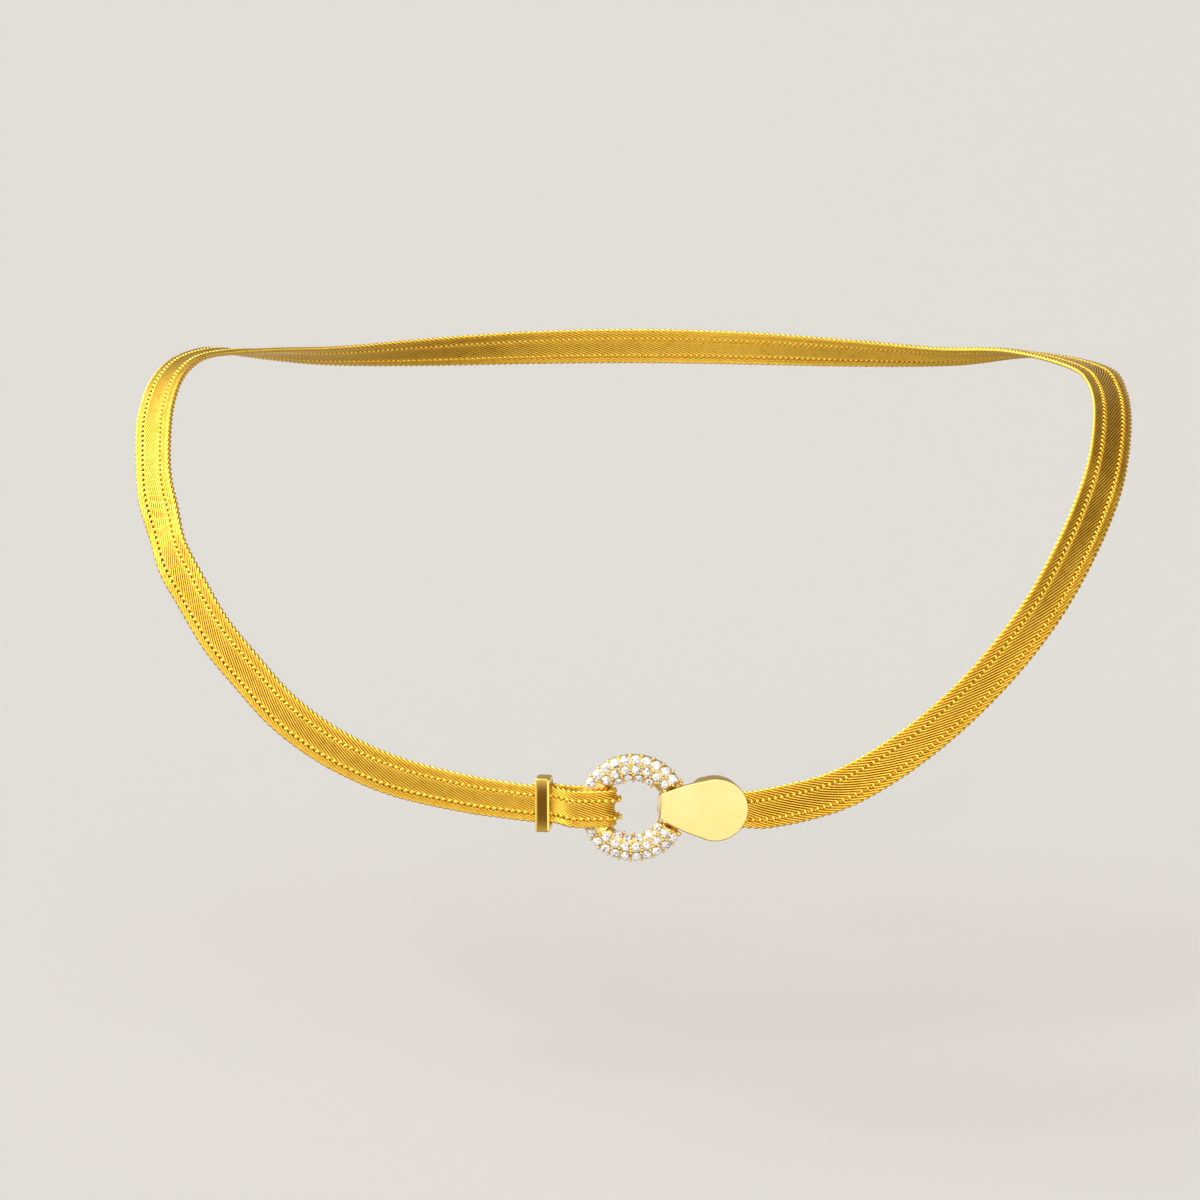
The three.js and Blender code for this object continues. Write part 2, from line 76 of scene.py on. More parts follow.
# Rows of the strap's middle line: share of the way across and back from the metal, share of the
# drop upwards, lean of the face in degrees, share of the strap's width
rightRows = np.array([
    [0.052, 0.004, -0.016, 0, 0.95], [0.215, 0.022, 0.018, 0, 0.97], [0.323, 0.033, 0.069, 0, 0.97],
    [0.472, 0.054, 0.172, 1, 0.97], [0.630, 0.088, 0.316, 8, 0.98], [0.778, 0.135, 0.495, 24, 1],
    [0.880, 0.192, 0.658, 46, 1], [0.946, 0.252, 0.783, 58, 1], [0.977, 0.292, 0.863, 61, 1],
    [0.999, 0.346, 0.941, 65, 1], [1.009, 0.398, 1.002, 70, 1], [1.006, 0.459, 1.046, 79, 1],
    [0.984, 0.516, 1.075, 88, 1],
])
leftRows = np.array([
    [0.870, 0.608, 1.106, 91, 1], [0.941, 0.527, 1.109, 83, 1], [0.971, 0.485, 1.092, 79, 1],
    [0.993, 0.447, 1.060, 74, 1], [1.009, 0.396, 0.990, 68, 1], [1.008, 0.351, 0.915, 59, 1],
    [0.993, 0.289, 0.799, 49, 1], [0.966, 0.252, 0.712, 38, 1], [0.938, 0.220, 0.626, 28, 1],
    [0.890, 0.190, 0.543, 20, 1], [0.816, 0.153, 0.424, 13, 1], [0.739, 0.126, 0.332, 9, 1],
    [0.647, 0.099, 0.230, 6, 0.99], [0.543, 0.075, 0.151, 4, 0.98], [0.440, 0.056, 0.097, 2, 0.97],
    [0.338, 0.041, 0.059, 0, 0.95], [0.158, 0.019, 0.022, 0, 0.89], [0.076, 0.011, 0.012, 0, 0.87],
])
# half ellipse behind the neck: its angles in degrees, shares of the loop's sizes, lean in degrees
nape = {
    "angles": np.arange(30, 151, 15.0), "start": 0.37, "halfWidth": 0.9725, "skew": 0.0175,
    "rise": 0.31, "lean": 20, "shoulderLean": 78,
}
# stations of the strap beside the ring, and how far its end reaches out behind the keeper
besideRing = {
    "off": 1 * mm, "frontEase": 0.12 * mm, "backEase": 0.2 * mm, "tail": 0.6 * mm, "foldSteps": 8,
}


def unit(vectors):
    # each vector divided by its length
    return vectors / np.linalg.norm(vectors, axis=-1, keepdims=True)


def turnedPlace(along, depth, height, degrees, centre):
    # a point turned about the upright axis by the angle, then moved to the centre
    a = math.radians(degrees)
    along, depth, height = np.broadcast_arrays(along, depth, height)
    turned = np.stack([along * math.cos(a) - depth * math.sin(a),
                       along * math.sin(a) + depth * math.cos(a), height], -1)
    return turned + centre


def fromRing(along, depth, height=0.0):
    # a place measured from the ring's centre
    return turnedPlace(along, depth, height, 0, ringCentre)


def fromKeeper(along, depth, height=0.0):
    # a place measured from the keeper's middle and turned with the keeper
    centre = ringCentre + [-keeperSize["off"], layerOffset + keeperSize["behind"], keeperSize["rise"]]
    return turnedPlace(along, depth, height, keeperSize["turn"], centre)


def rolled(along, height, degrees):
    # a place in the picture plane turned by the angle
    a = math.radians(degrees)
    return along * math.cos(a) - height * math.sin(a), along * math.sin(a) + height * math.cos(a)


def fromHook(along, depth, height=0.0):
    # a place measured from the ring's bar inside the hook, rolled and turned with the hook
    along, height = rolled(along, height, -dropSize["roll"])
    centre = ringCentre + [ringSize["midRadius"], 0, dropSize["rise"]]
    return turnedPlace(along, depth, height, dropSize["turn"], centre)


def sideRows(rows, exitPoint, side):
    # straight blend from the exit to the loop's widest point and to the nape, by each row's shares
    x = exitPoint[0] + (side * loop["halfWidth"] - exitPoint[0]) * rows[:, 0]
    y = exitPoint[1] + (loop["halfStrap"] - exitPoint[1]) * rows[:, 1]
    z = (rows[:, 2] - 1) * loop["drop"]
    return np.column_stack([x, y, z, rows[:, 3], rows[:, 4]])


def held(points):
    # rows without lean and with the share of the width that the metal leaves
    points = np.atleast_2d(points)
    return np.column_stack([points, np.zeros(len(points)), np.full(len(points), loop["pinched"])])


def strapStations():
    # x, y, z, lean and width share of each station, from the hook round the loop to the keeper, the
    # fold and the end behind the keeper; the nape's stations lie on half an ellipse
    keeperEnd = keeperSize["width"] / 2 + loop["clearance"]
    hookExit = fromHook(dropLength + loop["clearance"], pocketMiddle)
    keeperExit = fromKeeper(-keeperEnd, -layerOffset)
    a = np.radians(nape["angles"])
    aside, behind = np.cos(a), np.sin(a)
    back = np.column_stack([
        (nape["halfWidth"] + nape["skew"] * aside) * aside * loop["halfWidth"],
        loop["halfStrap"] - (1 - nape["start"]) * (1 - behind) * loop["reach"],
        nape["rise"] * (1 - behind) ** 2 * loop["drop"],
        nape["lean"] + nape["shoulderLean"] * aside ** 2, np.ones_like(a)])
    foldDepth = ringSize["foldCrown"] + loop["clearance"] + loop["halfStrap"]
    turn = np.pi * np.arange(besideRing["foldSteps"] + 1) / besideRing["foldSteps"]
    fold = fromRing((foldStart - foldEnd) * np.sin(turn) - foldStart, -foldDepth * np.cos(turn))
    beside = -ringOuter - besideRing["off"]
    return np.vstack([
        held(fromHook(dropLength - dropSize["pocket"], pocketMiddle)), held(hookExit),
        sideRows(rightRows, hookExit, 1), back, sideRows(leftRows, keeperExit, -1),
        held(keeperExit), held(fromKeeper(keeperEnd, -layerOffset)),
        held(fromRing(beside, besideRing["frontEase"] - foldDepth)), held(fold),
        held(fromRing(beside, foldDepth - besideRing["backEase"])),
        held(fromKeeper(keeperEnd, layerOffset)),
        held(fromKeeper(-keeperEnd - besideRing["tail"], layerOffset))])


def smoothThrough(points, power, perSpan):
    # Catmull-Rom curve through the points: the knots lie apart by the distance to the given power,
    # and each span is the cubic that has the neighbours' slopes at its two ends
    p = np.vstack([2 * points[0] - points[1], points, 2 * points[-1] - points[-2]])
    gap = np.linalg.norm(np.diff(p[:, :3], axis=0), axis=1) ** power if power else np.ones(len(p) - 1)
    p0, p1, p2, p3 = p[:-3], p[1:-2], p[2:-1], p[3:]
    d0, d1, d2 = gap[:-2, None], gap[1:-1, None], gap[2:, None]
    m1 = ((p1 - p0) / d0 - (p2 - p0) / (d0 + d1) + (p2 - p1) / d1) * d1
    m2 = ((p2 - p1) / d1 - (p3 - p1) / (d1 + d2) + (p3 - p2) / d2) * d1
    t = (np.arange(perSpan) / perSpan)[None, :, None]
    h = [2 * t ** 3 - 3 * t ** 2 + 1, t ** 3 - 2 * t ** 2 + t, 3 * t ** 2 - 2 * t ** 3, t ** 3 - t ** 2]
    curve = h[0] * p1[:, None] + h[1] * m1[:, None] + h[2] * p2[:, None] + h[3] * m2[:, None]
    return np.vstack([curve.reshape(-1, p.shape[1]), points[-1:]])


stations = strapStations()
route = smoothThrough(stations[:, :3], 0.5, loop["samplesPerSpan"])
hold = smoothThrough(stations[:, 3:], 0, loop["samplesPerSpan"])
routeLength = np.concatenate([[0], np.cumsum(np.linalg.norm(np.diff(route, axis=0), axis=1))])
strapLength = routeLength[-1]
# three stations come after the fold's last one
foldIndex = len(stations) - 4 - besideRing["foldSteps"] // 2
foldAt = routeLength[foldIndex * loop["samplesPerSpan"]]
print("strap route:", round(strapLength * 1000, 1), "mm, fold at", round(foldAt * 1000, 1), "mm")


def alongRoute(s):
    # the route's point, its frame (travel, inward, facing) and width share at each length s; past an
    # end the route goes straight on
    s = np.asarray(s)
    kept = np.clip(s, 0, strapLength)
    travel = unit(np.gradient(route, routeLength, axis=0))
    look = lambda table: np.stack([np.interp(kept, routeLength, column) for column in table.T], -1)
    point, travel, lean = look(route), unit(look(travel)), look(hold)
    point = point + travel * (s - kept)[..., None]
    outward = unit(np.cross(travel, [0, 0, 1.0]))
    upward = np.cross(outward, travel)
    a = np.radians(lean[..., :1])
    facing = outward * np.cos(a) + upward * np.sin(a)
    return point, np.cross(facing, travel), facing, lean[..., 1]


fold = {
    "shares": [-0.5, -0.335, -0.255, -0.175, -0.02, 0.135, 0.215, 0.295, 0.5],
    "rise": np.array([-0.25, -0.35, 0.38, -0.3, -0.62, -0.3, 0.38, -0.35, -0.2]) * mm,
    "length": 1.5 * mm,
}


def onStrap(s, share, height):
    # place on the strap: length s along it, share of its width towards the inner edge, height in
    # front of its middle layer; round the fold the panels fall in and the two ridges stand out
    point, inward, facing, wide = alongRoute(s)
    dent = np.interp(share, fold["shares"], fold["rise"]) * np.exp(-((s - foldAt) / fold["length"]) ** 2)
    across = share * wide * loop["strapWidth"]
    return point + inward * across[..., None] + facing * (height + dent)[..., None]


# Mesh helpers

def newPiece(name, verts, faces, material, smooth=True):
    # faces is a list of whole-number arrays, each with the same number of corners in every row; a
    # face with more than four corners is a flat end
    mesh = bpy.data.meshes.new(name)
    corners = np.concatenate([f.ravel() for f in faces]).astype(np.int32)
    sizes = np.concatenate([np.full(len(f), f.shape[1]) for f in faces])
    mesh.vertices.add(len(verts))
    mesh.vertices.foreach_set("co", np.asarray(verts, dtype=np.float32).ravel())
    mesh.loops.add(len(corners))
    mesh.loops.foreach_set("vertex_index", corners)
    mesh.polygons.add(len(sizes))
    starts = np.concatenate([[0], np.cumsum(sizes)[:-1]])
    mesh.polygons.foreach_set("loop_start", starts.astype(np.int32))
    mesh.update(calc_edges=True)
    mesh.polygons.foreach_set("use_smooth", (sizes <= 4) & smooth)
    mesh.materials.append(material)
    piece = bpy.data.objects.new(name, mesh)
    bpy.context.scene.collection.objects.link(piece)
    return piece


def gridFaces(rows, columns, closeRows=False, closeColumns=False):
    # quads between neighbouring rows and columns of a grid of points
    r = np.arange(rows if closeRows else rows - 1)[:, None]
    c = np.arange(columns if closeColumns else columns - 1)[None, :]
    r2, c2 = (r + 1) % rows, (c + 1) % columns
    quads = np.stack([r * columns + c, r * columns + c2, r2 * columns + c2, r2 * columns + c], -1)
    return quads.reshape(-1, 4)


def wires(paths, radii, sides, reference):
    # many round wires at once: a circle about each point of each path, square to the path, with a
    # flat end at both ends; paths are wires x points x 3, reference is any direction off the path
    travel = unit(np.gradient(paths, axis=1))
    first = unit(reference - (reference * travel).sum(-1, keepdims=True) * travel)
    second = np.cross(travel, first)
    a = 2 * np.pi * np.arange(sides) / sides
    circle = first[:, :, None] * np.cos(a)[:, None] + second[:, :, None] * np.sin(a)[:, None]
    verts = paths[:, :, None] + circle * np.broadcast_to(radii, paths.shape[:2])[:, :, None, None]
    count, points = paths.shape[:2]
    start = (np.arange(count) * points * sides)[:, None, None]
    quads = (gridFaces(points, sides, closeColumns=True)[None] + start).reshape(-1, 4)
    ring = np.arange(sides)
    ends = np.stack([ring[::-1], (points - 1) * sides + ring])[None] + start
    return verts.reshape(-1, 3), [quads, ends.reshape(-1, sides)]


def scattered(verts, faces, centres, axes, scale):
    # one copy of the small shape at each centre, its three axes turned to the given directions
    placed = np.einsum("vk,nkj->nvj", verts * scale, axes) + centres[:, None]
    shift = (np.arange(len(centres)) * len(verts))[:, None, None]
    return placed.reshape(-1, 3), [(f[None] + shift).reshape(-1, f.shape[1]) for f in faces]


def ball(around=10, rings=5):
    # unit ball: rings of points between two poles
    turn = 2 * np.pi * np.arange(around) / around
    tilt = np.pi * np.arange(1, rings + 1) / (rings + 1)
    body = np.stack([np.outer(np.sin(tilt), np.cos(turn)), np.outer(np.sin(tilt), np.sin(turn)),
                     np.outer(np.cos(tilt), np.ones(around))], -1).reshape(-1, 3)
    verts = np.vstack([body, [[0, 0, 1]], [[0, 0, -1]]])
    i = np.arange(around)
    n = (i + 1) % around
    top = np.column_stack([i, n, np.full(around, len(body))])
    low = (rings - 1) * around
    bottom = np.column_stack([low + n, low + i, np.full(around, len(body) + 1)])
    return verts, np.vstack([top, bottom]), gridFaces(rings, around, closeColumns=True)[:, ::-1]


def dress(piece, node):
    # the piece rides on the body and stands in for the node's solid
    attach(piece, "root")
    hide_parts(node)
    return piece


# Materials

def newMaterial(name):
    # a material with its nodes, its links and its one shader
    material = bpy.data.materials.new(name)
    material.use_nodes = True
    nodes = material.node_tree.nodes
    return material, nodes, material.node_tree.links, nodes["Principled BSDF"]


def noise(nodes, links, scale, detail):
    # soft random pattern over the piece's own coordinates
    place = nodes.new("ShaderNodeTexCoord")
    texture = nodes.new("ShaderNodeTexNoise")
    texture.inputs["Scale"].default_value = scale
    texture.inputs["Detail"].default_value = detail
    links.new(place.outputs["Object"], texture.inputs["Vector"])
    return texture


def ramp(nodes, links, source, stops):
    # colour by value: each stop is a place and a colour
    table = nodes.new("ShaderNodeValToRGB")
    while len(table.color_ramp.elements) < len(stops):
        table.color_ramp.elements.new(0.5)
    for element, (place, colour) in zip(table.color_ramp.elements, stops):
        element.position = place
        element.color = (*colour, 1)
    links.new(source, table.inputs["Fac"])
    return table


finish = {
    "coatRoughness": 0.15,
    "driftStops": (0.35, 0.65),     # values of the drift with the dark and the light colour
    "roughnessRange": (0.75, 1.3),  # times the roughness
    "driftDetail": 4, "marksDetail": 2,
    "marksScale": 14,               # times the drift's scale
    "marksDepth": 0.02 * mm,
}


def goldMaterial(name, dark, light, roughness, scale, marks=0.0, coat=0.0):
    # yellow gold: colour and roughness drift a little over the surface, with fine polishing marks
    material, nodes, links, shader = newMaterial(name)
    shader.inputs["Metallic"].default_value = 1
    shader.inputs["Coat Weight"].default_value = coat
    shader.inputs["Coat Roughness"].default_value = finish["coatRoughness"]
    drift = noise(nodes, links, scale, finish["driftDetail"])
    stops = list(zip(finish["driftStops"], (dark, light)))
    colours = ramp(nodes, links, drift.outputs["Fac"], stops)
    links.new(colours.outputs["Color"], shader.inputs["Base Color"])
    spread = nodes.new("ShaderNodeMapRange")
    spread.inputs["To Min"].default_value = roughness * finish["roughnessRange"][0]
    spread.inputs["To Max"].default_value = roughness * finish["roughnessRange"][1]
    links.new(drift.outputs["Fac"], spread.inputs["Value"])
    links.new(spread.outputs["Result"], shader.inputs["Roughness"])
    if marks:
        pattern = noise(nodes, links, scale * finish["marksScale"], finish["marksDetail"])
        relief = nodes.new("ShaderNodeBump")
        relief.inputs["Strength"].default_value = marks
        relief.inputs["Distance"].default_value = finish["marksDepth"]
        links.new(pattern.outputs["Fac"], relief.inputs["Height"])
        links.new(relief.outputs["Normal"], shader.inputs["Normal"])
    return material


wovenGold = goldMaterial(
    "woven gold wire", dark=(0.93, 0.58, 0.045), light=(1.0, 0.66, 0.075),
    roughness=0.29, scale=900, marks=0.1, coat=0.7)
stitchGold = goldMaterial(
    "gold of the stitches", dark=(0.95, 0.62, 0.06), light=(1.0, 0.70, 0.10),
    roughness=0.28, scale=900, marks=0.1, coat=0.3)
# near-black gold: painted shade for the gaps between the wires, not the gold's own colour
paintedShadeGold = goldMaterial(
    "painted shade between the wires", dark=(0.06, 0.022, 0.002), light=(0.10, 0.04, 0.004),
    roughness=0.5, scale=900)
settingGold = goldMaterial(
    "gold of the setting", dark=(0.95, 0.68, 0.20), light=(1.0, 0.76, 0.30),
    roughness=0.22, scale=700, coat=0.4)
polishedGold = goldMaterial(
    "polished gold", dark=(0.93, 0.60, 0.11), light=(0.98, 0.68, 0.17),
    roughness=0.08, scale=160, marks=0.04, coat=0.3)
satinGold = goldMaterial(
    "satin gold of the plate", dark=(0.97, 0.72, 0.27), light=(0.99, 0.76, 0.33),
    roughness=0.16, scale=160, marks=0.04, coat=0.2)


def stoneMaterial():
    # clear cut stone: each facet painted a random tone from near black to white, painted glints and dark
    # reflections that stand for the light the stone mirrors and bends
    material, nodes, links, shader = newMaterial("cut stone")
    tone = nodes.new("ShaderNodeAttribute")
    tone.attribute_name = "paintedFacetLight"
    colours = ramp(nodes, links, tone.outputs["Fac"], [
        (0.0, (0.08, 0.06, 0.06)), (0.2, (0.34, 0.30, 0.31)),
        (0.45, (0.74, 0.70, 0.69)), (1.0, (1.0, 0.98, 0.95)),
    ])
    links.new(colours.outputs["Color"], shader.inputs["Base Color"])
    shader.inputs["Roughness"].default_value = 0.04
    shader.inputs["IOR"].default_value = 2.2
    shader.inputs["Coat Weight"].default_value = 0.6
    shader.inputs["Coat Roughness"].default_value = 0.02
    return material


cutStone = stoneMaterial()


# Woven strap: three flattened coils of wire side by side, whose turns make the front, the rope-like
# edges and the back, with a row of short stitches over each of the two seams

weave = {
    "pitch": 0.92 * mm,            # from one wire to the next along the strap
    "angle": 24,                   # of the wires to the strap's length, in degrees
    "edgeAngle": 36,               # the same round the strap's own edges
    "seamAngle": 28,               # and round the coils' ends at a seam
    "wire": 0.146 * mm,            # radius
    "edgeWire": 0.3 * mm,          # radius round the strap's own edges
    "seamWire": 0.2 * mm,          # radius at a seam
    "layer": 0.2 * mm,             # height of the wires' middles in front of the strap's middle
    "seams": (0.215, -0.255),      # shares of the width from the middle
    "seamGap": 0.06 * mm,          # between two coils
    "seamRise": 0.07 * mm,         # by which the coils rise at a seam
    "seamReach": 0.42 * mm,        # how far from a seam its rise and radius fade
    "edgeReach": 0.5 * mm,         # the same for the radius at the strap's own edges
    "edgeFrom": 0.42,              # share of the width beyond which the edge's angle holds
    "step": 0.8 * mm,              # longest straight piece of wire
    "roundSteps": 4,
    "sides": 6,
    "margin": 0.25 * mm,           # bare length at both ends
}
stitch = {
    "size": np.array([0.45, 0.29, 0.18]) * mm,  # half length, half width and half height
    "lean": 52,                                 # degrees from the strap's length
    "height": 0.305 * mm, "unevenness": 0.08,
    "shift": 0.3,                               # share of a pitch from one row to the other
    "probe": 0.1 * mm, "probeShare": 0.02,      # steps along and across that give its directions
}
# straight wires under the stitches, and the near-black layer between the wires in front and behind,
# painted shade seen through the gaps between the wires
cord = {"height": 0.02 * mm, "radius": 0.14 * mm, "sides": 6, "margin": 0.3 * mm, "step": 0.9 * mm}
core = {
    "halfShare": 0.44, "halfHeight": 0.03 * mm, "columns": 15, "margin": 0.3 * mm, "step": 0.8 * mm,
}


def coilTurn(low, high):
    # one turn of a flattened coil that fills the strap's width from one share to the other: across
    # the front, round the outer end, back behind and round the inner end; gives the share, height,
    # radius and way along the strap at each point, which grows by length / tan(angle), and its total
    w = weave
    width = loop["strapWidth"]
    besideSeam = w["wire"] + w["seamGap"] / 2
    ends = [w["edgeWire"] if abs(share) == 0.5 else besideSeam for share in (low, high)]
    start, stop = high * width - ends[1] - w["layer"], low * width + ends[0] + w["layer"]
    count = int(math.ceil((start - stop) / math.sin(math.radians(w["angle"])) / w["step"]))
    straight = np.linspace(start, stop, count + 1)
    a = np.pi * np.arange(1, w["roundSteps"]) / w["roundSteps"]
    aside, level, fall = w["layer"] * np.sin(a), np.full(count + 1, w["layer"]), w["layer"] * np.cos(a)
    across = np.concatenate([straight, stop - aside, straight[::-1], start + aside])
    height = np.concatenate([level, fall, -level, -fall])
    closed = np.column_stack([np.append(across, across[0]), np.append(height, height[0])])
    middle = np.abs(closed[1:] + closed[:-1]) / 2
    flat = middle[:, 1] > 0.99 * w["layer"]
    beyond = middle[:, 0] > w["edgeFrom"] * width
    slope = np.radians(np.where(flat, w["angle"], np.where(beyond, w["edgeAngle"], w["seamAngle"])))
    length = np.linalg.norm(np.diff(closed, axis=0), axis=1)
    gone = np.concatenate([[0], np.cumsum(length / np.tan(slope))])
    near = lambda place, reach: np.exp(-((across - place * width) / reach) ** 2)
    atSeam = sum(near(seam, w["seamReach"]) for seam in w["seams"])
    atEdge = near(0.5, w["edgeReach"]) + near(-0.5, w["edgeReach"])
    radius = w["wire"] + (w["edgeWire"] - w["wire"]) * atEdge + (w["seamWire"] - w["wire"]) * atSeam
    raised = height + np.sign(height) * atSeam * w["seamRise"]
    return across / width, raised, radius, gone[:-1] / gone[-1], gone[-1]


def strapCoil(name, low, high):
    # parallel wires, each one pitch further along than the one before, that advance in step with
    # their way round the coil
    w = weave
    share, height, radius, gone, around = coilTurn(low, high)
    strands = round(around / w["pitch"])
    advance = strands * w["pitch"]
    turns = int(math.ceil(strapLength / advance)) + 2
    s = ((gone[None] + np.arange(-1, turns - 1)[:, None]) * advance).ravel()
    share, height, radius = (np.tile(a, turns) for a in (share, height, radius))
    parts = []
    for strand in range(strands):
        length = s + strand * w["pitch"]
        kept = (length > w["margin"]) & (length < strapLength - w["margin"])
        path = onStrap(length[kept], share[kept], height[kept])
        facing = alongRoute(length[kept])[2]
        parts.append(wires(path[None], radius[None, kept], w["sides"], facing[None]))
    offsets = np.cumsum([0] + [len(v) for v, f in parts[:-1]])
    verts = np.concatenate([v for v, f in parts])
    faces = [np.concatenate([f[k] + o for (v, f), o in zip(parts, offsets)]) for k in (0, 1)]
    print(name, "strands:", strands, "triangles:", 2 * len(faces[0]))
    return dress(newPiece(name, verts, faces, wovenGold), "woven_band")


def strapStitches():
    # a small rounded stitch at each pitch of each seam, in front and behind, that leans against the
    # wires; each has its own slight difference in size
    k = stitch
    count = int((strapLength - 2 * weave["margin"]) / weave["pitch"])
    places = []
    for seam in weave["seams"]:
        for side in (1, -1):
            s = (np.arange(count) + 0.5 + k["shift"] * (seam < 0)) * weave["pitch"]
            places.append(np.column_stack([s, np.full(count, seam), np.full(count, side)]))
    s, share, side = np.vstack(places).T
    height, step, stepAside = side * k["height"], k["probe"], k["probeShare"]
    centre = onStrap(s, share, height)
    ahead = unit(onStrap(s + step, share, height) - onStrap(s - step, share, height))
    aside = unit(onStrap(s, share + stepAside, height) - onStrap(s, share - stepAside, height))
    lean = np.radians(k["lean"])
    along = ahead * math.cos(lean) + aside * (math.sin(lean) * side)[:, None]
    normal = unit(np.cross(aside, ahead)) * side[:, None]
    along = unit(along - (along * normal).sum(-1, keepdims=True) * normal)
    random = np.random.default_rng(3)
    uneven = 1 + k["unevenness"] * random.uniform(-1, 1, (len(s), 3))
    size = k["size"][None] * uneven
    across = np.cross(normal, along)
    axes = np.stack([along * size[:, :1], across * size[:, 1:2], normal * size[:, 2:]], axis=1)
    verts, tris, quads = ball(8, 3)
    placed, faces = scattered(verts, [tris, quads], centre, axes, 1)
    print("stitches:", len(s))
    return dress(newPiece("strap_stitches", placed, faces, stitchGold), "woven_band")


def evenLengths(margin, step):
    # lengths along the strap between the two margins, as many as whole steps fit in the strap
    return np.linspace(margin, strapLength - margin, int(strapLength / step))


def seamCords():
    # a straight wire under each row of stitches: a circle carried along the strap
    s = evenLengths(cord["margin"], cord["step"])
    paths = np.stack([onStrap(s, np.full(len(s), seam), np.full(len(s), side * cord["height"]))
                      for seam in weave["seams"] for side in (1, -1)])
    facing = np.broadcast_to(alongRoute(s)[2], paths.shape)
    verts, faces = wires(paths, cord["radius"], cord["sides"], facing)
    return dress(newPiece("seam_cords", verts, faces, wovenGold), "woven_band")


def strapShadeLayer():
    # thin dark layer between the two layers of wire, painted shade that makes the gaps between the wires
    # look shaded: a grid along the strap and across it, closed into a flat tube
    s = evenLengths(core["margin"], core["step"])
    share = np.linspace(-core["halfShare"], core["halfShare"], core["columns"])
    share = np.concatenate([share, share[::-1]])
    height = np.repeat([-core["halfHeight"], core["halfHeight"]], core["columns"])
    grid = onStrap(*np.broadcast_arrays(s[:, None], share[None], height[None]))
    n = len(share)
    ends = np.stack([np.arange(n), (len(s) - 1) * n + np.arange(n)[::-1]])
    quads = gridFaces(len(s), n, closeColumns=True)[:, ::-1]
    piece = newPiece("strap_shade_layer", grid.reshape(-1, 3), [quads, ends], paintedShadeGold)
    return dress(piece, "woven_band")


strapCoil("strap_coil_inner", weave["seams"][0], 0.5)
strapCoil("strap_coil_middle", weave["seams"][1], weave["seams"][0])
strapCoil("strap_coil_outer", -0.5, weave["seams"][1])
strapStitches()
seamCords()
strapShadeLayer()
print("strap done")


# Ring and its stones

def easeBetween(low, high, value):
    # 0 up to the low value, 1 from the high one, and 3t^2 - 2t^3 between them
    t = np.clip((value - low) / (high - low), 0, 1)
    return t * t * (3 - 2 * t)


def ringShape(angle):
    # half width, crown and back of the section: full at the sides, lower under the strap and a slim
    # bar inside the hook
    degrees = np.degrees(np.abs(np.arctan2(np.sin(angle), np.cos(angle))))
    full = easeBetween(ringSize["barSpread"], ringSize["barSpread"] + ringSize["blendSpread"], degrees)
    foldFrom = 180 - ringSize["foldSpread"]
    under = easeBetween(foldFrom - ringSize["blendSpread"], foldFrom, degrees)
    mix = lambda a, b, t: a + (b - a) * t
    half = mix(ringSize["barHalfWidth"], ringSize["halfWidth"], full)
    crown = mix(mix(ringSize["barDepth"], ringSize["crown"], full), ringSize["foldCrown"], under)
    return half, crown, mix(ringSize["barDepth"], ringSize["back"], full)


def onRing(angle, offset, depth):
    # a place at the angle round the ring, its offset from the middle radius and its depth
    r = ringSize["midRadius"] + offset
    return fromRing(r * np.cos(angle), depth, r * np.sin(angle))


pave = {
    "stone": 1.3 * mm, "gap": 0.235 * mm, "rise": 0.1 * mm, "bead": 0.25 * mm,
    # for each row: share of the half width from the middle, share of a step round, scale
    "shares": (0.64, -0.152, -0.85), "turns": (0, 0.5, 0), "scales": (1.08, 1.02, 0.97),
    "paintedLightCurve": 0.7,              # power of the facets' painted light and shade; below 1 more are bright
    "aroundSteps": 216, "domeSteps": 20,
    "sunk": 0.12 * mm,             # by which the gold lies below the stones' dome
    "squareness": 2.6,             # power of the dome's section; 2 is an ellipse
    "tilt": 0.6,                   # share of the dome's slope that the stones follow
    "domeReach": 0.985,            # largest share of the half width at which the dome is met
    "freeShare": 0.6,              # of the clearance, between a stone and the strap or hook
    "beadRise": 0.5,               # share of a bead's size by which it stands out
    # rounded edge of the ring's back: shares of the half width and of the back's depth
    "rearEdge": np.array([[0.99, 0.2], [0.93, 0.5], [0.82, 0.78], [0.66, 0.96], [0.5, 1]]),
    "beadShifts": ((0.4, -0.38), (0.36, -0.34), (0.36, -0.3)),  # shares of a stone, from each row
    # plain grains beside the hook: angle in degrees, offset from the middle radius in mm
    "grains": np.array([[29.5, -0.75], [27, 1.45], [-32.5, -1.25], [-30.5, 1.4]]), "grain": 0.36 * mm,
}


def ringSetting():
    # section of a low dome with rounded lower edges, carried round the circle
    angle = np.linspace(0, 2 * np.pi, pave["aroundSteps"], endpoint=False)[:, None]
    half, crown, back = ringShape(angle)
    t = np.linspace(-1, 1, pave["domeSteps"])[None]
    power = 2 / pave["squareness"]
    offset = half * np.sign(t) * np.abs(np.sin(t * np.pi / 2)) ** power
    bulge = np.maximum(0, np.cos(t * np.pi / 2)) ** power
    front = onRing(angle, offset, -(crown - pave["sunk"]) * bulge)
    lower = np.vstack([pave["rearEdge"], (pave["rearEdge"] * [-1, 1])[::-1]])
    rear = onRing(angle, half * lower[None, :, 0], back * lower[None, :, 1])
    grid = np.concatenate([front, rear], axis=1)
    faces = gridFaces(grid.shape[0], grid.shape[1], closeRows=True, closeColumns=True)
    piece = newPiece("ring_setting", grid.reshape(-1, 3), [faces], settingGold)
    return dress(piece, "pave_ring")


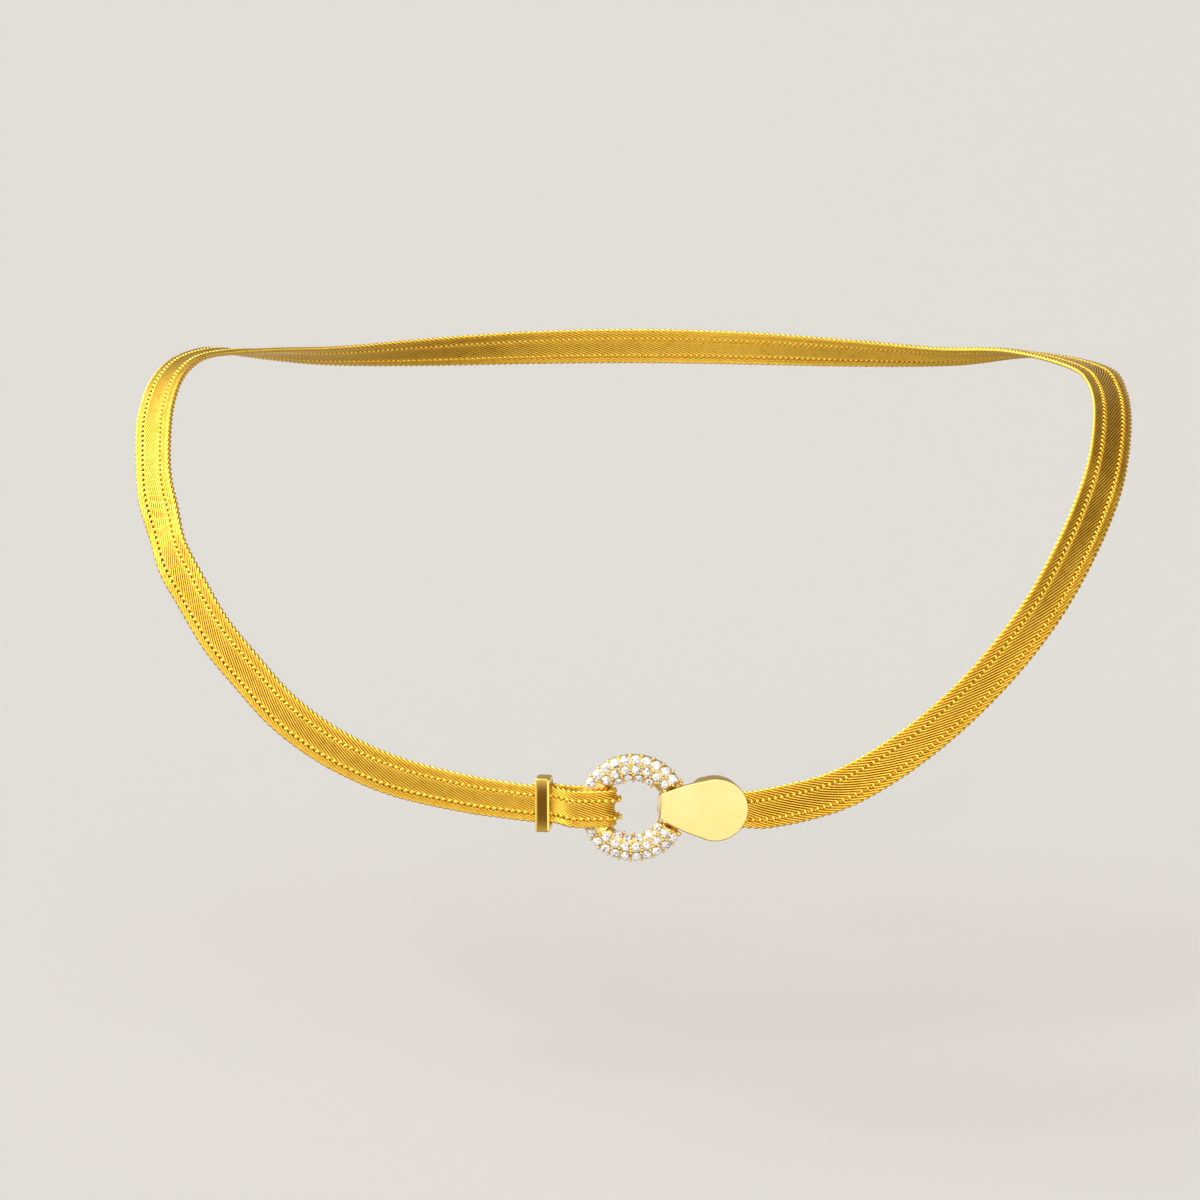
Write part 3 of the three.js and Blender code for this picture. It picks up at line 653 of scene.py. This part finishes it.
def seats():
    # angle, offset from the middle radius and scale of the stones in each row, which stand evenly
    # round the whole ring
    rows = []
    for share, turn, scale in zip(pave["shares"], pave["turns"], pave["scales"]):
        offset = share * ringSize["halfWidth"]
        count = round(2 * math.pi * (ringSize["midRadius"] + offset) / (pave["stone"] + pave["gap"]))
        angle = 2 * np.pi * (np.arange(count) + turn) / count
        rows.append(np.column_stack([angle, np.full(count, offset), np.full(count, scale)]))
    return rows


def isOpen(angle, offset, room):
    # true where neither the strap nor the hook covers the ring; the hook's edge is a straight line
    # in the hook's own rolled frame
    d = dropSize
    r = ringSize["midRadius"] + offset
    along, height = r * np.cos(angle), r * np.sin(angle)
    a = math.radians(d["joinAngle"])
    joinAlong, joinHeight = d["roundAt"] + d["radius"] * math.cos(a), d["radius"] * math.sin(a)
    flare = (joinHeight - d["tipHalf"]) / (joinAlong - d["tipAt"])
    inAlong, inHeight = rolled(along - ringSize["midRadius"], height - d["rise"], d["roll"])
    edge = d["tipHalf"] + (inAlong - d["tipAt"]) * flare
    underHook = (along > 0) & (np.abs(inHeight) < np.maximum(edge, d["tipHalf"]) + room)
    return ~underHook & ~((along < 0) & (np.abs(height) < pinchedHalf + room))


def domeFrame(angle, offset):
    # foot on the dome and the three directions there: normal, along the radius, round the ring; the
    # dome is height = crown * (1 - |u|^n)^(1/n) with u the offset's share of the half width
    half, crown, _ = ringShape(angle)
    n = pave["squareness"]
    u = np.clip(offset / half, -pave["domeReach"], pave["domeReach"])
    left = 1 - np.abs(u) ** n
    height = crown * left ** (1 / n)
    slope = -np.sign(u) * crown / half * np.abs(u) ** (n - 1) * left ** (1 / n - 1) * pave["tilt"]
    radial = np.stack([np.cos(angle), np.zeros_like(angle), np.sin(angle)], -1)
    normal = unit(np.array([0, -1.0, 0]) - slope[:, None] * radial)
    side = unit(np.cross(normal, radial))
    return onRing(angle, offset, -height), normal, np.cross(side, normal), side


def brilliant():
    # unit stone, radius 1: table, star and kite facets, upper girdle facets, girdle and pavilion;
    # rings of points at given radii and heights, joined by flat facets
    a8 = 2 * np.pi * np.arange(8) / 8
    a16 = 2 * np.pi * np.arange(16) / 16
    circle = lambda a, r, z: np.column_stack([r * np.cos(a), r * np.sin(a), np.full(len(a), z)])
    verts = np.vstack([circle(a8 + np.pi / 8, 0.57, 0.42), circle(a8, 0.8, 0.24), circle(a16, 1, 0.04),
                       circle(a16, 1, -0.04), circle(a8, 0.45, -0.5), [[0, 0, -0.86], [0, 0, 0.42]]])
    i = np.arange(8)
    n = (i + 1) % 8
    t, k, g, lowG, p, tip, middle = 0, 8, 16, 32, 48, 56, 57
    before = (i - 1) % 8
    tris = [
        np.column_stack([t + before, k + i, t + i]),
        np.column_stack([k + i, g + 2 * i, g + (2 * i + 1) % 16]),
        np.column_stack([k + i, g + (2 * i - 1) % 16, g + 2 * i]),
        np.column_stack([p + i, lowG + (2 * i + 1) % 16, lowG + 2 * i]),
        np.column_stack([p + i, lowG + 2 * i, lowG + (2 * i - 1) % 16]),
        np.column_stack([p + i, p + n, lowG + (2 * i + 1) % 16]),
        np.column_stack([p + n, p + i, np.full(8, tip)]),
        np.column_stack([t + i, t + n, np.full(8, middle)]),
    ]
    quads = [
        np.column_stack([k + i, g + (2 * i + 1) % 16, k + n, t + i]),
        np.column_stack([g + np.arange(16), lowG + np.arange(16), lowG + (np.arange(16) + 1) % 16,
                         g + (np.arange(16) + 1) % 16]),
    ]
    return verts, np.vstack(tris), np.vstack(quads)


def ringStones():
    # a cut stone on each open seat, square to the dome and turned at random about its own axis
    rows = np.vstack(seats())
    room = pave["stone"] / 2 + loop["clearance"] * pave["freeShare"]
    rows = rows[isOpen(rows[:, 0], rows[:, 1], room)]
    foot, normal, along, side = domeFrame(rows[:, 0], rows[:, 1])
    random = np.random.default_rng(7)
    spin = random.uniform(0, 2 * np.pi, len(rows))[:, None]
    first = along * np.cos(spin) + side * np.sin(spin)
    axes = np.stack([first, np.cross(normal, first), normal], axis=1) * rows[:, 2, None, None]
    verts, tris, quads = brilliant()
    centre = foot + normal * pave["rise"]
    placed, faces = scattered(verts, [tris, quads], centre, axes, pave["stone"] / 2)
    piece = newPiece("ring_stones", placed, faces, cutStone, smooth=False)
    # painted glints and dark reflections: a random tone from dark to white for each facet
    tones = random.uniform(0, 1, len(piece.data.polygons)) ** pave["paintedLightCurve"]
    piece.data.attributes.new("paintedFacetLight", "FLOAT", "FACE").data.foreach_set("value", tones)
    print("stones:", len(rows))
    return dress(piece, "pave_ring")


def ringBeads():
    # grains of gold that hold the stones: midway between neighbours, on both sides of each row
    rows = seats()
    places = []
    for row, shifts in zip(rows, pave["beadShifts"]):
        angle = row[:, 0] + np.pi / len(row)
        for shift in shifts:
            places.append(np.column_stack([angle, row[:, 1] + shift * pave["stone"]]))
    places = np.vstack(places)
    places = places[isOpen(places[:, 0], places[:, 1], pave["bead"] + loop["clearance"])]
    grains = pave["grains"] * [math.radians(1), mm]
    size = np.repeat([pave["bead"], pave["grain"]], [len(places), len(grains)])[:, None]
    places = np.vstack([places, grains])
    foot, normal, along, side = domeFrame(places[:, 0], places[:, 1])
    axes = np.stack([along, side, normal], axis=1) * size[:, None]
    verts, tris, quads = ball()
    centre = foot + normal * size * pave["beadRise"]
    placed, faces = scattered(verts, [tris, quads], centre, axes, 1)
    return dress(newPiece("ring_beads", placed, faces, settingGold), "pave_ring")


ringSetting()
ringStones()
ringBeads()
print("ring done")


# Keeper bar

keeperEdges = {
    "frontRadius": 0.26 * mm, "backRadius": 1 * mm,
    # shares of the bevel: in from the side face, and in from the outline
    "bevelSteps": ((0, 1), (0.3, 0.3), (1, 0), (1.3, 0)),
    "depthShare": 0.7,             # of the bevel in depth to the one in height
    "slotFrontRadius": 0.12 * mm, "slotBackRadius": 0.3 * mm,
    "slotStep": 0.08 * mm, "slotFlare": 0.05 * mm,
}


def roundedBox(halfDepth, halfHeight, frontRadius, backRadius, steps=7):
    # four arcs, the two at the front and the two at the back with their own radius
    parts = []
    for side, up, start in ((-1, 1, 90), (-1, -1, 180), (1, -1, 270), (1, 1, 0)):
        r = frontRadius if side < 0 else backRadius
        a = np.radians(start + np.linspace(0, 90, steps))
        parts.append(np.column_stack([side * (halfDepth - r) + r * np.cos(a),
                                      up * (halfHeight - r) + r * np.sin(a)]))
    return np.vstack(parts)


def keeperLoop():
    # closed band round both layers of the strap: the wall's outline between the slot and the outer
    # shape, carried across the bar's width, with its edges bevelled
    k, e = keeperSize, keeperEdges
    slotDepth = layerOffset + loop["halfStrap"] + k["slack"]
    slotHeight = pinchedHalf + loop["clearance"]
    outerDepth, outerHeight = slotDepth + k["wall"], slotHeight + k["endWall"]
    half, b = k["width"] / 2, k["bevel"]
    outlines = []
    right = [(half - b * back, b * inset) for back, inset in e["bevelSteps"]]
    for along, inset in right + [(-along, inset) for along, inset in reversed(right)]:
        outlines.append((along, roundedBox(outerDepth - inset * e["depthShare"], outerHeight - inset,
                                           e["frontRadius"], e["backRadius"])))
    for along in (-half, -half + e["slotStep"], half - e["slotStep"], half):
        flare = e["slotFlare"] if abs(along) == half else 0
        outlines.append((along, roundedBox(slotDepth + flare, slotHeight + flare,
                                           e["slotFrontRadius"], e["slotBackRadius"])))
    grid = np.stack([fromKeeper(along, outline[:, 0], outline[:, 1]) for along, outline in outlines])
    faces = gridFaces(grid.shape[0], grid.shape[1], closeRows=True, closeColumns=True)
    piece = newPiece("keeper_loop", grid.reshape(-1, 3), [faces], polishedGold)
    return dress(piece, "keeper_bar")


keeperLoop()
print("keeper done")


# Drop-shaped hook

hookEdges = {
    "plateBevel": 0.17 * mm,
    # shares of the bevel: in from the outline, and depth behind the plate's front
    "plateSteps": ((1, 0), (0.45, 0.2), (0.12, 0.6), (0, 1)),
    # the body's levels: inset of the outline, depth behind the plate, way back of the straight end
    "bodyLevels": np.array([
        [0.14, -0.1, 0], [0.14, 0.12, 0], [0, 0.2, 0.02], [0, 0.6, 0.15], [0, 1.1, 0.4],
        [0, 1.6, 0.75], [0, 2.15, 1.2], [0.08, 2.32, 1.4], [0.25, 2.4, 1.6],
    ]) * mm,
    "tongueBend": 0.45 * mm, "tongueRoot": 0.6 * mm, "tongueShort": 0.2 * mm, "tongueEdge": 0.1 * mm,
}


def dropOutline(inset, start=None, sideSteps=24, roundSteps=40):
    # upper half: lightly bowed side from the narrow end to the round end, then an arc; the lower
    # half is its mirror image
    d = dropSize
    start = d["tipAt"] + inset if start is None else start
    r = d["radius"] - inset
    a = math.radians(d["joinAngle"])
    joinAlong, joinHeight = d["roundAt"] + r * math.cos(a), r * math.sin(a)
    along = np.linspace(start, joinAlong, sideSteps, endpoint=False)
    share = (along - d["tipAt"]) / (joinAlong - d["tipAt"])
    height = ((d["tipHalf"] - inset) + (joinHeight - d["tipHalf"] + inset) * share
              + d["bow"] * 4 * share * (1 - share))
    around = a * (1 - np.arange(roundSteps) / (roundSteps - 0.5))
    upper = np.vstack([np.column_stack([along, height]),
                       np.column_stack([d["roundAt"] + r * np.cos(around), r * np.sin(around)])])
    return np.vstack([upper, (upper * [1, -1])[::-1]])


def stackedOutlines(name, levels, material):
    # outlines of equal count at growing depth, joined into a closed wall with flat ends
    grid = np.stack([fromHook(outline[:, 0], depth, outline[:, 1]) for outline, depth in levels])
    n = grid.shape[1]
    ends = np.stack([np.arange(n), (len(levels) - 1) * n + np.arange(n)[::-1]])
    faces = gridFaces(len(levels), n, closeColumns=True)[:, ::-1]
    piece = newPiece(name, grid.reshape(-1, 3), [faces, ends], material)
    return dress(piece, "drop_hook")


def dropPlate():
    # flat front with a rounded bevel
    bevel = hookEdges["plateBevel"]
    steps = [(bevel * inset, bevel * depth) for inset, depth in hookEdges["plateSteps"]]
    steps.append((0, dropSize["plate"]))
    levels = [(dropOutline(inset), plateFront + depth) for inset, depth in steps]
    return stackedOutlines("drop_plate", levels, satinGold)


def dropBody():
    # the drop's outline behind the plate, whose straight end moves back towards the round one
    inset = dropSize["bodyInset"]
    levels = [(dropOutline(inset + further, bodyStart + back), plateBack + depth)
              for further, depth, back in hookEdges["bodyLevels"]]
    return stackedOutlines("drop_body", levels, polishedGold)


def dropTongue():
    # strip of gold that leaves the plate's narrow end, goes round the ring's bar and lies behind it:
    # a flat rounded section carried along a bent path
    d, h = dropSize, hookEdges
    t, r, edge = d["tongue"], h["tongueBend"], h["tongueEdge"]
    back = ringSize["barDepth"] + loop["clearance"] + t / 2
    front = plateFront + d["plate"] / 2
    turn = np.radians(np.linspace(0, 90, 8))
    x0 = d["tipAt"] + t / 2
    path = np.vstack([
        [[x0 + h["tongueRoot"], front]],
        np.column_stack([x0 + r - r * np.sin(turn), front + r - r * np.cos(turn)]),
        np.column_stack([x0 + r - r * np.cos(turn), back - r + r * np.sin(turn)]),
        [[bodyStart - 2 * ringSize["barDepth"] - h["tongueShort"], back]]])
    travel = unit(np.gradient(path, axis=0))
    across = np.column_stack([-travel[:, 1], travel[:, 0]])
    half = d["tipHalf"] - d["tongueInset"]
    thick = np.array([0.5, 1, 1, 0.5, -0.5, -1, -1, -0.5]) * t / 2
    tall = np.array([-half, -half + edge, half - edge, half, half, half - edge, -half + edge, -half])
    spread = path[:, None] + across[:, None] * thick[:, None]
    grid = fromHook(spread[..., 0], spread[..., 1], np.broadcast_to(tall, (len(path), len(tall))))
    n = len(tall)
    ends = np.stack([np.arange(n)[::-1], (len(path) - 1) * n + np.arange(n)])
    faces = gridFaces(len(path), n, closeColumns=True)
    piece = newPiece("drop_tongue", grid.reshape(-1, 3), [faces, ends], polishedGold)
    return dress(piece, "drop_hook")


dropPlate()
dropBody()
dropTongue()
print("hook done")


# Floor, lights and camera

studio = {
    "floorBelow": 0.09, "floorSize": 14, "floorColour": (0.53, 0.525, 0.515),
    "cameraDistance": 0.65, "elevation": 14,
    "lens": 137.8, "sensor": 36, "pictureSize": 1200, "ringPixel": (634.5, 806.5),
    # colour by height of the direction, from straight down at 0 to straight up at 1
    "skyStops": [(0.0, (0.38, 0.33, 0.25)), (0.28, (0.5, 0.45, 0.37)), (0.4, (0.9, 0.86, 0.8)),
                 (0.62, (1.05, 1.04, 1.0)), (1.0, (1.1, 1.1, 1.08))],
    # azimuth and elevation, inner and outer angle, colour
    "spots": [
        {"aim": (100, 45), "angles": (36, 68), "colour": (0.27, 0.23, 0.17)},
        {"aim": (175, 15), "angles": (12, 40), "colour": (0.4, 0.36, 0.28)},
        {"aim": (-84, -6), "angles": (10, 30), "colour": (1.3, 1.25, 1.15)},
        {"aim": (-42, -8), "angles": (6, 18), "colour": (0.6, 0.55, 0.46)},
        {"aim": (-104, 37), "angles": (8, 30), "colour": (6, 5.9, 5.8)},
        {"aim": (30, -4), "angles": (18, 36), "colour": (1.9, 1.85, 1.75)},
        {"aim": (19.5, -14), "angles": (6, 11), "colour": (1.2, 1.16, 1.12)},
        {"aim": (-16, -14), "angles": (4, 9), "colour": (0.19, 0.13, 0.06)},
    ],
}


def floorPiece():
    # a broad pale square below the part, which the gold doesn't mirror
    half = studio["floorSize"] / 2
    z = -studio["floorBelow"]
    verts = np.array([[-half, -half, z], [half, -half, z], [half, half, z], [-half, half, z]])
    material, nodes, links, shader = newMaterial("pale floor")
    shader.inputs["Base Color"].default_value = (*studio["floorColour"], 1)
    shader.inputs["Roughness"].default_value = 0.9
    floor = newPiece("floor", verts, [np.array([[0, 1, 2, 3]])], material, smooth=False)
    floor.visible_glossy = False


def softLight(name, azimuth, elevation, spread, power, colour=(1, 1, 1)):
    # even light from a broad disc in one direction; azimuth from the front towards the right
    lamp = bpy.data.lights.new(name, "SUN")
    lamp.angle = math.radians(spread)
    lamp.energy = power
    lamp.color = colour
    light = bpy.data.objects.new(name, lamp)
    light.rotation_euler = (math.radians(90 - elevation), 0, math.radians(azimuth))
    bpy.context.scene.collection.objects.link(light)


def directionSpot(nodes, links, place, azimuth, elevation, inner, outer):
    # 1 within the inner angle of a direction and 0 beyond the outer one; azimuth from the front
    # towards the right
    a, e = math.radians(azimuth), math.radians(elevation)
    dot = nodes.new("ShaderNodeVectorMath")
    dot.operation = "DOT_PRODUCT"
    dot.inputs[1].default_value = (math.sin(a) * math.cos(e), -math.cos(a) * math.cos(e), math.sin(e))
    links.new(place.outputs["Generated"], dot.inputs[0])
    fade = nodes.new("ShaderNodeMapRange")
    fade.interpolation_type = "SMOOTHSTEP"
    fade.inputs["From Min"].default_value = math.cos(math.radians(outer))
    fade.inputs["From Max"].default_value = math.cos(math.radians(inner))
    links.new(dot.outputs["Value"], fade.inputs["Value"])
    return fade.outputs["Result"]


def mixColours(nodes, links, share, first, second):
    # first where the share is 0 and second where it is 1; each is a colour or a socket
    mix = nodes.new("ShaderNodeMix")
    mix.data_type = "RGBA"
    links.new(share, mix.inputs["Factor"])
    for socket, value in ((mix.inputs[6], first), (mix.inputs[7], second)):
        if isinstance(value, tuple):
            socket.default_value = (*value, 1)
        else:
            links.new(value, socket)
    return mix.outputs[2]


def surroundings():
    # what the gold mirrors: darker low down and to the right, light from the left and above, a
    # broad light panel in front of the plate and a dark one in front of the keeper
    world = bpy.data.worlds.new("studio")
    bpy.context.scene.world = world
    world.use_nodes = True
    nodes, links = world.node_tree.nodes, world.node_tree.links
    place = nodes.new("ShaderNodeTexCoord")
    split = nodes.new("ShaderNodeSeparateXYZ")
    links.new(place.outputs["Generated"], split.inputs["Vector"])
    spread = nodes.new("ShaderNodeMapRange")
    spread.inputs["From Min"].default_value = -1
    links.new(split.outputs["Z"], spread.inputs["Value"])
    colour = ramp(nodes, links, spread.outputs["Result"], studio["skyStops"]).outputs["Color"]
    for spot in studio["spots"]:
        share = directionSpot(nodes, links, place, *spot["aim"], *spot["angles"])
        colour = mixColours(nodes, links, share, colour, spot["colour"])
    links.new(colour, nodes["Background"].inputs["Color"])


def photoCamera():
    # at the photo's elevation and distance, turned so that the ring's centre meets its pixel
    s = studio
    tilt = math.radians(s["elevation"])
    focal = s["lens"] / s["sensor"] * s["pictureSize"]
    middle = s["pictureSize"] / 2
    camera = bpy.data.cameras.new("camera")
    camera.lens = s["lens"]
    camera.sensor_width = s["sensor"]
    camera.clip_start = 0.01
    holder = bpy.data.objects.new("camera", camera)
    away = np.array([0, -math.cos(tilt), math.sin(tilt)]) * s["cameraDistance"]
    holder.location = ringCentre + away
    up = math.atan((s["ringPixel"][1] - middle) / focal)
    left = math.atan((s["ringPixel"][0] - middle) / focal)
    holder.rotation_euler = (math.pi / 2 - tilt + up, 0, left)
    bpy.context.scene.collection.objects.link(holder)
    bpy.context.scene.camera = holder


floorPiece()
surroundings()
softLight("key", azimuth=-42, elevation=42, spread=26, power=0.8, colour=(1, 0.97, 0.92))
softLight("fill", azimuth=12, elevation=30, spread=22, power=0.2, colour=(1, 0.98, 0.95))
softLight("top", azimuth=0, elevation=80, spread=40, power=0.3)
photoCamera()
bpy.context.scene.view_settings.view_transform = "Standard"
print("stage done")
